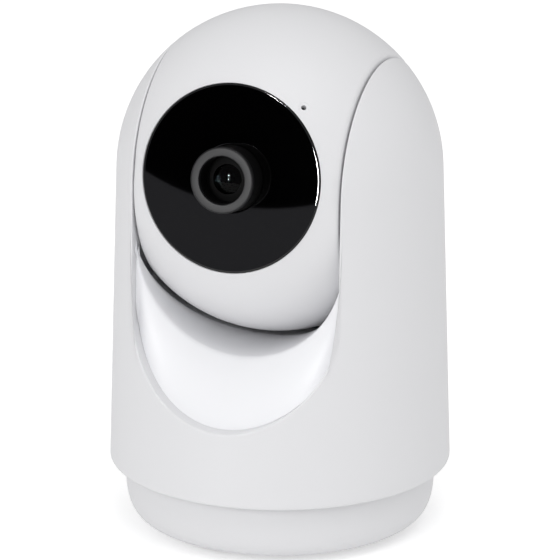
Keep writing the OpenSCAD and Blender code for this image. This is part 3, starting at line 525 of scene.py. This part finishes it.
# the head is a ball in two shells, with the face plate and the lens ring
head = {
    "radius": 36.5, "half": 23.95, "edge": 1.6, "wall": 1.9, "seamY": 8, "tilt": 10.8,
    "faceRadius": 20.85, "plate": 1.6, "recess": 2.3, "faceEdge": 0.3,
    "pinhole": (15.2, -28.5, 17), "pinholeRadius": 0.58, "pinholeMouth": 1.3, "dimple": 0.22,
    "pinholeFloor": 33, "pinholeTop": 38, "seamGroove": 0.12, "seamGap": 0.06, "ledge": 1.45,
    "innerFront": 25.5, "poleGap": 0.002, "ringSteps": 40,
}
faceY = sqrt(head["radius"] ** 2 - head["faceRadius"] ** 2)
toHead = Matrix.Translation((0, 0, ballZ * mm)) @ Matrix.Rotation(radians(-head["tilt"]), 4, "X")
lensAxis = toHead @ Matrix.Rotation(pi / 2, 4, "X")  # +Z of a turned piece becomes the lens axis


def ballReach(x, inset):
    # radius about the tilt axis at x, with the flat sides' rounded edges
    radius, half = head["radius"] - inset, head["half"] - inset
    edge = max(head["edge"] - inset, 0.3)
    centreX = half - edge
    centreReach = sqrt((radius - edge) ** 2 - centreX ** 2)
    if abs(x) <= centreX * radius / (radius - edge):
        return sqrt(radius ** 2 - x * x)
    return centreReach + sqrt(max(0, edge ** 2 - (abs(x) - centreX) ** 2))


def ballRing(y, inset, across=88, down=14):
    half = head["half"] - inset
    edge = max(head["edge"] - inset, 0.3)
    flat = sqrt((head["radius"] - inset - edge) ** 2 - (half - edge) ** 2)
    low, high = 0, half
    if abs(y) >= flat:
        for _ in range(40):
            middle = (low + high) / 2
            low, high = (middle, high) if ballReach(middle, inset) > abs(y) else (low, middle)
        widest, sideZ = low, 0
    else:
        widest, sideZ = half, sqrt(flat ** 2 - y * y)
    top = []
    for k in range(across + 1):
        x = widest * sin(radians(-90 + 180 * k / across))
        top.append(Vector((x, y, sqrt(max(sideZ ** 2, ballReach(x, inset) ** 2 - y * y)))))
    right = [Vector((widest, y, sideZ * (1 - 2 * k / down))) for k in range(1, down)]
    under = [Vector((-p.x, y, -p.z)) for p in top]
    return top + right + under + [Vector((-p.x, y, -p.z)) for p in right] + top[:1]


def roundRing(radius, y, like):
    # a circle with a point for each point of the ring it meets
    result = []
    for p in like:
        flatways = Vector((p.x, p.z)).normalized() * radius
        result.append(Vector((flatways.x, y, flatways.y)))
    return result


def frontShellRings():
    seam, groove, count = head["seamY"], head["seamGroove"], head["ringSteps"]
    front = faceY - head["faceEdge"] * 0.8
    outer = [ballRing(seam, groove)]
    outer += [ballRing(seam - groove - (seam - groove + front) * k / count, 0) for k in range(count + 1)]
    # the seat of the face plate, with a ledge behind it
    wide, plateBack = head["faceRadius"], -faceY + head["plate"]
    narrow = wide - head["ledge"]
    seat = [roundRing(radius, y, outer[-1]) for radius, y in (
        (wide + 0.1, -faceY - 0.05), (wide, -faceY + 0.1), (wide, plateBack), (narrow, plateBack),
        (narrow, plateBack + head["recess"]))]
    start, steps = head["innerFront"], 14
    inner = [ballRing(-start + (start + seam) * k / steps, head["wall"]) for k in range(steps + 1)]
    return outer + seat + inner + outer[:1]


def pinholeCutter():
    mouth = Vector(head["pinhole"]).normalized()
    hole, wide, top = head["pinholeRadius"], head["pinholeMouth"], head["radius"]
    bell = [(hole + (wide - hole) * sin(pi / 2 * k / 6), top - head["dimple"] * cos(pi / 2 * k / 6) + 0.03)
            for k in range(7)]
    low, high = head["pinholeFloor"], head["pinholeTop"]
    cutter = turned([(0, low), (hole, low)] + bell + [(wide, high), (0, high)], 40, closed=False)
    turn = Vector((0, 0, 1)).rotation_difference(mouth).to_matrix()
    bmesh.ops.rotate(cutter, cent=(0, 0, 0), matrix=turn, verts=cutter.verts)
    return cutter


def roundBar(radius, depth, place, turn=None, steps=64):
    cutter = bmesh.new()
    bmesh.ops.create_cone(cutter, cap_ends=True, segments=steps, radius1=radius, radius2=radius, depth=depth)
    if turn is not None:
        bmesh.ops.rotate(cutter, cent=(0, 0, 0), matrix=turn, verts=cutter.verts)
    bmesh.ops.translate(cutter, vec=place, verts=cutter.verts)
    return cutter


def slotBar(width, thick, depth, place):
    cutter = bmesh.new()
    bmesh.ops.create_cube(cutter, size=1)
    bmesh.ops.scale(cutter, vec=(width, thick, depth), verts=cutter.verts)
    upright = [e for e in cutter.edges if abs(e.verts[0].co.z - e.verts[1].co.z) > 1]
    bmesh.ops.bevel(cutter, geom=upright, offset=0.45 * thick, offset_type="OFFSET", affect="EDGES",
                    segments=4, profile=0.5, material=-1)
    bmesh.ops.translate(cutter, vec=place, verts=cutter.verts)
    return cutter


openings = {
    "card": (12.2, 1.7, 14), "cardPlace": (-2, 1.35, -32), "button": 1.62, "buttonPlace": (10, 0.6, -32),
    "bush": 7.62, "screwHole": 2.0, "screwPlace": (11, 18), "screwDepth": 1.2,
}


def frontShell():
    across = Matrix.Rotation(pi / 2, 3, "Y")
    bm = drilled(bentGrid(frontShellRings()), pinholeCutter())
    bm = drilled(bm, slotBar(*openings["card"], openings["cardPlace"]))
    bm = drilled(bm, roundBar(openings["button"], 14, openings["buttonPlace"]))
    for side in (-1, 1):
        bm = drilled(bm, roundBar(openings["bush"], 8, (side * head["half"], 0, 0), across, 96))
    toPiece("frontShell", bm, "head", "white_shell", ["head_front_shell"], turn=toHead)


frontShell()


def capped(rings):
    # the last ring is drawn into one point on the axis
    pole = Vector((0, rings[-1][0].y + 0.0001, 0))
    return rings + [[pole.copy() for _ in rings[-1]]]


def rearShellRings():
    seam, groove, count = head["seamY"] + head["seamGap"], head["seamGroove"], head["ringSteps"]
    inside, innerSteps, pole = head["radius"] - head["wall"], 16, pi / 2 - head["poleGap"]
    first, start = asin((seam + groove) / head["radius"]), asin(seam / inside)
    outer = [ballRing(seam, groove)]
    outer += [ballRing(head["radius"] * sin(first + (pole - first) * k / count), 0) for k in range(count + 1)]
    inner = [ballRing(inside * sin(start + (pole - start) * k / innerSteps), head["wall"])
             for k in range(innerSteps + 1)]
    return capped(outer)[::-1] + [inner[0]] + capped(inner)[1:]


def rearShell():
    across = Matrix.Rotation(pi / 2, 3, "Y")
    bm = bentGrid(rearShellRings())
    x, (y, z) = head["half"] + 2 - openings["screwDepth"], openings["screwPlace"]
    for side in (-1, 1):
        for up in (-1, 1):
            bm = drilled(bm, roundBar(openings["screwHole"], 4, (side * x, y, up * z), across, 48))
    toPiece("rearShell", bm, "head", "white_shell", ["head_rear_shell"], turn=toHead)


rearShell()

lens = {
    "ringRadius": 7.3, "ringFront": 35.7, "ringHole": 5.2, "barrelFront": 31.2, "floor": faceY - 3.9,
    "collar": 0.9, "glassFront": 32.5, "glassRadius": 3.3, "glassSag": 0.5, "glassThick": 1.3,
    "sleeveBore": 6.1, "flangeRadius": 9, "flange": 1,
}


def facePlate():
    # the flat rings beside both edges keep the smooth shading of the mirror flat
    front = faceY + 0.02
    outline = softOutline([(lens["ringRadius"] + 0.1, front - head["plate"]),
                           (head["faceRadius"] - 0.09, front - head["plate"]),
                           (head["faceRadius"] - 0.09, front, head["faceEdge"]),
                           (head["faceRadius"] - 0.6, front), (lens["ringRadius"] + 0.4, front),
                           (lens["ringRadius"] + 0.1, front, 0.1)])
    toPiece("facePlate", turned(outline, 256), "head", "face_black", ["face_plate"], turn=lensAxis)


def lensRing():
    front, hole = lens["ringFront"], lens["ringHole"]
    outer, collar = lens["ringRadius"], front - lens["collar"]
    outline = softOutline([(outer - 0.6, collar), (outer, collar), (outer, front, 0.4),
                           (hole + 0.1, front, 0.2), (hole + 0.1, collar), (hole + 0.6, collar)], 5)
    toPiece("lensRing", turned(outline, 192), "head", "ring_black", ["lens_ring"], turn=lensAxis)
    low = lens["floor"] + 0.02
    bore, flange, inset = lens["sleeveBore"], lens["flangeRadius"], outer - 0.03
    sleeve = [(bore, low), (flange, low), (flange, low + lens["flange"]), (inset, low + lens["flange"]),
              (inset, collar - 0.01), (hole, collar - 0.01), (hole, lens["barrelFront"] + 0.1),
              (bore, lens["barrelFront"] + 0.1)]
    toPiece("ringSleeve", turned(sleeve, 192), "head", "barrel_black", ["lens_ring"], turn=lensAxis)


def frontElement():
    # the outermost glass, a shallow dome with a flat back, in its black seat
    front, reach, sag = lens["glassFront"], lens["glassRadius"], lens["glassSag"]
    dome = [(reach * sin(pi / 2 * k / 14), front - sag * sin(pi / 2 * k / 14) ** 2) for k in range(15)]
    glass = turned(softOutline([(0, front - lens["glassThick"]), (reach, front - lens["glassThick"], 0.08)])
                   + dome[::-1], 128, closed=False)
    toPiece("frontElement", glass, "head", "lens_glass", ["front_lens"], turn=lensAxis)
    low, wide = lens["barrelFront"] + 0.02, lens["ringHole"] - 0.06
    seat = softOutline([(reach + 0.04, low), (wide, low), (wide, front - 0.9),
                        (reach + 0.04, front - sag + 0.12, 0.1)])
    toPiece("glassSeat", turned(seat, 128), "head", "barrel_black", turn=lensAxis)


facePlate()
lensRing()
frontElement()
print("stage: head")


# the base is a low rounded bowl
base = {
    "topRadius": 35, "flatRadius": 23.5, "footZ": 0.8, "topZ": 15.4, "curve": 3.8, "wall": 1.9, "turn": -13,
    "plugHalf": 2.6, "plugRound": 3.4, "plugZ": 8.4, "tripod": 3.98, "tripodDepth": 5.8, "boss": 5.5,
    "bossTop": 6, "sideTop": 15, "floor": 2, "plugCut": 10, "plugY": 29,
}


def bowlSide(flat, top, low, high, steps=26):
    return [(flat + (top - flat) * cos(a) ** (2 / base["curve"]),
             high - (high - low) * sin(a) ** (2 / base["curve"]))
            for a in [pi / 2 * (1 - k / steps) for k in range(steps + 1)]]


def plugCutter():
    cutter = bmesh.new()
    bmesh.ops.create_circle(cutter, cap_ends=True, segments=64, radius=base["plugRound"])
    for vert in cutter.verts:
        vert.co.x += base["plugHalf"] * (1 if vert.co.x > 0 else -1)
    slab = bmesh.ops.extrude_face_region(cutter, geom=cutter.faces[:])["geom"]
    slabTop = [g for g in slab if isinstance(g, bmesh.types.BMVert)]
    bmesh.ops.translate(cutter, vec=(0, 0, base["plugCut"]), verts=slabTop)
    bmesh.ops.rotate(cutter, cent=(0, 0, 0), matrix=Matrix.Rotation(-pi / 2, 3, "X"), verts=cutter.verts)
    bmesh.ops.translate(cutter, vec=(0, base["plugY"], base["plugZ"]), verts=cutter.verts)
    return cutter


def bowl():
    low, high, wall = base["footZ"], base["sideTop"], base["wall"]
    floorTop = low + base["floor"]
    outline = [(base["tripod"], low)] + bowlSide(base["flatRadius"], base["topRadius"], low, high)
    outline += softOutline([(base["topRadius"], base["topZ"], 0.2), (base["topRadius"] - wall, base["topZ"]),
                            (base["topRadius"], high)])[:6]
    outline += bowlSide(base["flatRadius"] - wall / 2, base["topRadius"] - wall, floorTop, high)[::-1]
    outline += [(base["boss"], floorTop), (base["boss"], base["bossTop"]), (0, base["bossTop"]),
                (0, base["tripodDepth"]), (base["tripod"], base["tripodDepth"])]
    bm = drilled(turned(outline, 256), plugCutter())
    turn = Matrix.Rotation(radians(base["turn"]), 4, "Z")
    toPiece("baseBowl", bm, "base", "white_shell", ["base_bowl"], turn=turn)


bowl()
print("stage: base")


# floor, light and camera
studio = {
    "floorSize": 3.0, "floorZ": -0.0003, "worldLight": 0.6, "worldGloss": 0.4, "backdrop": 1.0,
    "floorGlow": 0.17, "floorSeen": 0.4,
    "target": (0, 0, 0.0593), "distance": 1.179, "elevation": 17.72, "azimuth": 21.242,
    "sensor": 36, "lensLength": 337.7443, "shiftUp": -0.0249286,
}


def flatFinish(name, colour, emission=0.0):
    material = finish(name, colour, rough=0.9, shade=0.01, grain=30, blotch=8, bump=0.02)
    shader = material.node_tree.nodes["Principled BSDF"]
    shader.inputs["Emission Color"].default_value = (*colour, 1)
    shader.inputs["Emission Strength"].default_value = emission
    return material


def stageObject(name, bm, material):
    mesh = bpy.data.meshes.new(name)
    bm.to_mesh(mesh)
    bm.free()
    panel = bpy.data.objects.new(name, mesh)
    bpy.context.scene.collection.objects.link(panel)
    mesh.materials.append(material)
    return panel


def stagePanel(name, size, material, place, turn=None):
    bm = bmesh.new()
    bmesh.ops.create_grid(bm, x_segments=1, y_segments=1, size=0.5)
    bmesh.ops.scale(bm, vec=(size[0], size[1], 1), verts=bm.verts)
    if turn is not None:
        bmesh.ops.rotate(bm, cent=(0, 0, 0), matrix=turn, verts=bm.verts)
    bmesh.ops.translate(bm, vec=place, verts=bm.verts)
    return stageObject(name, bm, material)


def seenOnlyInGloss(panel):
    for ray in ("camera", "diffuse", "transmission", "shadow", "volume_scatter"):
        setattr(panel, "visible_" + ray, False)


def studioFloor():
    # the camera sees the floor a little brighter than it lights the object
    material = flatFinish("paleFloor", (0.9, 0.9, 0.9))
    tree = material.node_tree
    rays = addNode(tree, "ShaderNodeLightPath")
    glow = addNode(tree, "ShaderNodeMapRange")
    glow.inputs["To Min"].default_value = studio["floorGlow"]
    glow.inputs["To Max"].default_value = studio["floorSeen"]
    tree.links.new(rays.outputs["Is Camera Ray"], glow.inputs["Value"])
    tree.links.new(glow.outputs["Result"], tree.nodes["Principled BSDF"].inputs["Emission Strength"])
    stagePanel("floor", (studio["floorSize"],) * 2, material, (0, 0, studio["floorZ"]))


cards = {
    "azimuth": -20.87, "distance": 2.527, "boardSize": (1.6, 1.0),
    "hoodRadius": 0.1585, "hoodSide": 0.02, "hoodZ": 0.376, "gap": 0.03,
}


def reflectedCards():
    # what the glossy face mirrors: a pale board, and a round black hood in front of it
    toCards = Vector((sin(radians(cards["azimuth"])), -cos(radians(cards["azimuth"])), 0))
    sideways = Vector((-toCards.y, toCards.x, 0))
    upright = Matrix((sideways, (0, 0, 1), -toCards)).transposed()
    boardPlace = toCards * (cards["distance"] + cards["gap"]) + Vector((0, 0, cards["boardSize"][1] / 2))
    board = stagePanel("paleBoard", cards["boardSize"], flatFinish("boardGrey", (0.22, 0.22, 0.24), 1.0),
                       boardPlace, upright)
    hoodMesh = bmesh.new()
    bmesh.ops.create_circle(hoodMesh, cap_ends=True, segments=160, radius=cards["hoodRadius"])
    bmesh.ops.rotate(hoodMesh, cent=(0, 0, 0), matrix=upright, verts=hoodMesh.verts)
    hoodPlace = toCards * cards["distance"] + sideways * cards["hoodSide"] + Vector((0, 0, cards["hoodZ"]))
    bmesh.ops.translate(hoodMesh, vec=hoodPlace, verts=hoodMesh.verts)
    hood = stageObject("blackHood", hoodMesh, flatFinish("hoodBlack", (0.0, 0.0, 0.0)))
    hood.data.materials[0].node_tree.nodes["Principled BSDF"].inputs["Specular IOR Level"].default_value = 0
    for panel in (board, hood):
        seenOnlyInGloss(panel)


studioFloor()
reflectedCards()

world = bpy.data.worlds.new("studio")
bpy.context.scene.world = world
world.use_nodes = True
sky = world.node_tree
sky.nodes.clear()
skyOut = sky.nodes.new("ShaderNodeOutputWorld")
rays = sky.nodes.new("ShaderNodeLightPath")
lit, mirrored, seen = (sky.nodes.new("ShaderNodeBackground") for _ in range(3))
for back, strength in ((lit, "worldLight"), (mirrored, "worldGloss"), (seen, "backdrop")):
    back.inputs["Color"].default_value = (1, 1, 1, 1)
    back.inputs["Strength"].default_value = studio[strength]
inGloss, inView = (sky.nodes.new("ShaderNodeMixShader") for _ in range(2))
sky.links.new(rays.outputs["Is Glossy Ray"], inGloss.inputs["Fac"])
sky.links.new(lit.outputs[0], inGloss.inputs[1])
sky.links.new(mirrored.outputs[0], inGloss.inputs[2])
sky.links.new(rays.outputs["Is Camera Ray"], inView.inputs["Fac"])
sky.links.new(inGloss.outputs[0], inView.inputs[1])
sky.links.new(seen.outputs[0], inView.inputs[2])
sky.links.new(inView.outputs[0], skyOut.inputs["Surface"])


def softLight(name, size, watts, turn, rise, distance, aim=(0, 0, 0.06)):
    # turn is from the object's front towards +X, rise is above the floor
    lamp = bpy.data.lights.new(name, "AREA")
    lamp.shape = "RECTANGLE"
    lamp.size, lamp.size_y = size
    lamp.energy = watts
    holder = bpy.data.objects.new(name, lamp)
    turn, rise = radians(turn), radians(rise)
    place = Vector((sin(turn) * cos(rise), -cos(turn) * cos(rise), sin(rise))) * distance + Vector(aim)
    holder.location = place
    holder.rotation_euler = (Vector(aim) - place).to_track_quat("-Z", "Y").to_euler()
    bpy.context.scene.collection.objects.link(holder)
    return holder


lights = {  # size, watts, turn, rise, distance
    "keySoftbox": ((1.6, 0.5), 5.6, -8, 24, 1.6), "topSoftbox": ((1.2, 1.2), 8.3, 40, 72, 1.6),
    "rightFill": ((0.8, 0.8), 0.5, 95, 20, 1.6), "upperSpark": ((0.06, 0.06), 4.0, -16, 14, 1.5),
    "lowerSpark": ((0.06, 0.06), 4.0, -16, 5, 1.5),
}
for name, values in lights.items():
    holder = softLight(name, *values)
    holder.visible_glossy = name != "keySoftbox"  # the face would mirror it
    holder.visible_diffuse = "Spark" not in name  # the sparks only show in glossy surfaces

azimuth, elevation = radians(studio["azimuth"]), radians(studio["elevation"])
target = Vector(studio["target"])
away = Vector((sin(azimuth) * cos(elevation), -cos(azimuth) * cos(elevation), sin(elevation)))
cameraData = bpy.data.cameras.new("camera")
cameraData.sensor_width = studio["sensor"]
cameraData.lens = studio["lensLength"]
cameraData.shift_y = studio["shiftUp"]
camera = bpy.data.objects.new("camera", cameraData)
camera.location = target + away * studio["distance"]
camera.rotation_euler = (-away).to_track_quat("-Z", "Y").to_euler()
bpy.context.scene.collection.objects.link(camera)
bpy.context.scene.camera = camera
bpy.context.scene.view_settings.view_transform = "Standard"
print("stage: studio")
